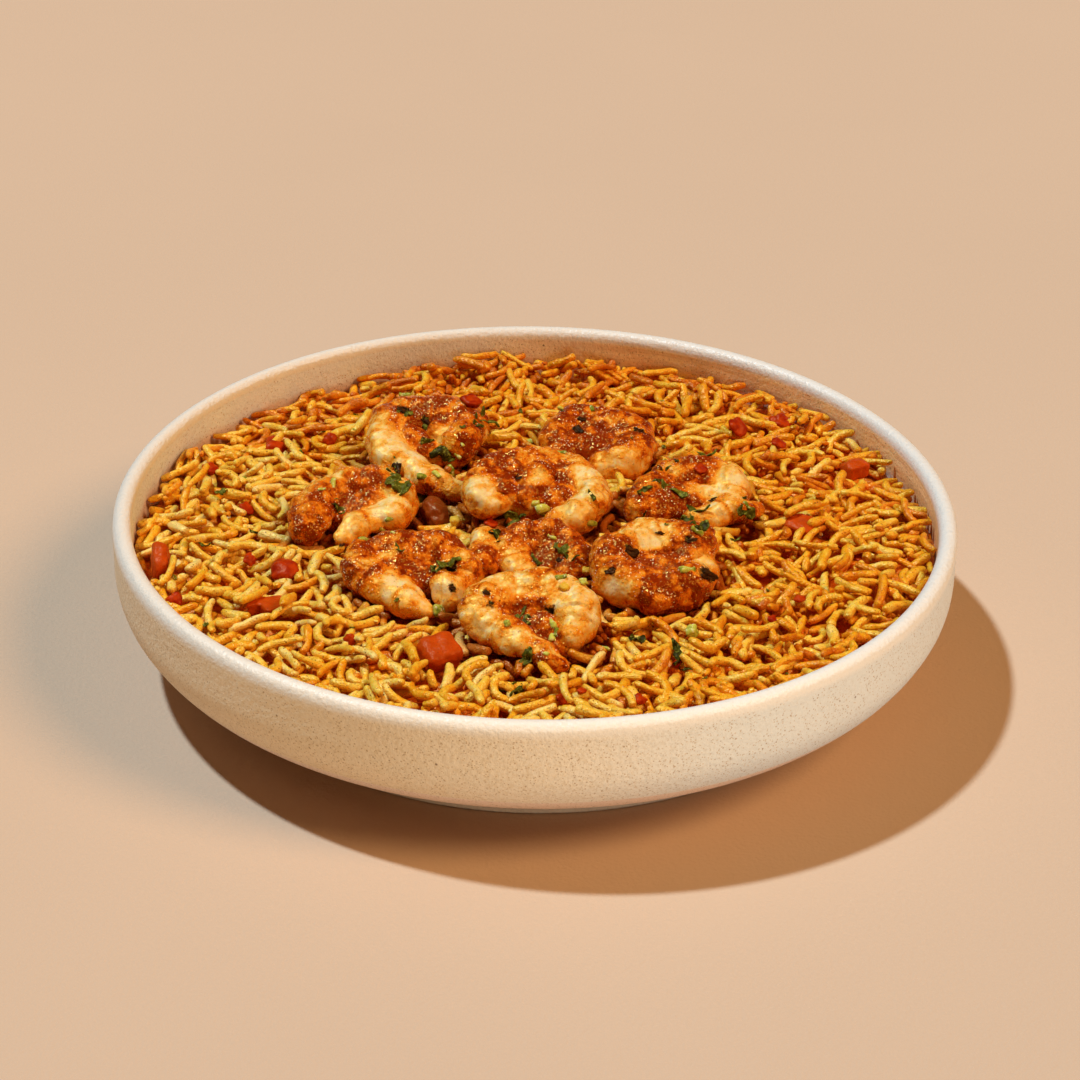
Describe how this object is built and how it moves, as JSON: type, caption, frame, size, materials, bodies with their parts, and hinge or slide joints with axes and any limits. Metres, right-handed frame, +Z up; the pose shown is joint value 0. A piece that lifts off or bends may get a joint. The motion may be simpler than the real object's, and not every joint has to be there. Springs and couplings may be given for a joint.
{
  "type": "shrimp machboos in a bowl",
  "caption": "Shallow speckled stoneware bowl filled with spiced long-grain rice, topped with curled glazed shrimps, diced tomato and chopped green herbs.",
  "frame": {"origin": "middle of the bowl's foot, on the surface the bowl stands on", "axes": "+Z up, through the bowl's middle; -Y towards the side the picture was taken from, +X to that view's right"},
  "size_m": [0.22, 0.22, 0.0529],
  "materials": {
    "stoneware": "satin",
    "rice": "satin",
    "shrimp": "satin",
    "tomato": "gloss",
    "raisin": "gloss",
    "herbs": "satin"
  },
  "bodies": {
    "root": {"bowl": "stoneware", "rice": "rice", "shrimp_back_left": "shrimp", "shrimp_back_right": "shrimp", "shrimp_top": "shrimp", "shrimp_left": "shrimp", "shrimp_right": "shrimp", "shrimp_front_left": "shrimp", "shrimp_middle": "shrimp", "shrimp_front_right": "shrimp", "shrimp_front": "shrimp", "tomato_front": "tomato", "tomato_left": "tomato", "tomato_far_left": "tomato", "tomato_right": "tomato", "tomato_far_right": "tomato", "raisin": "raisin"}
  },
  "joints": []
}
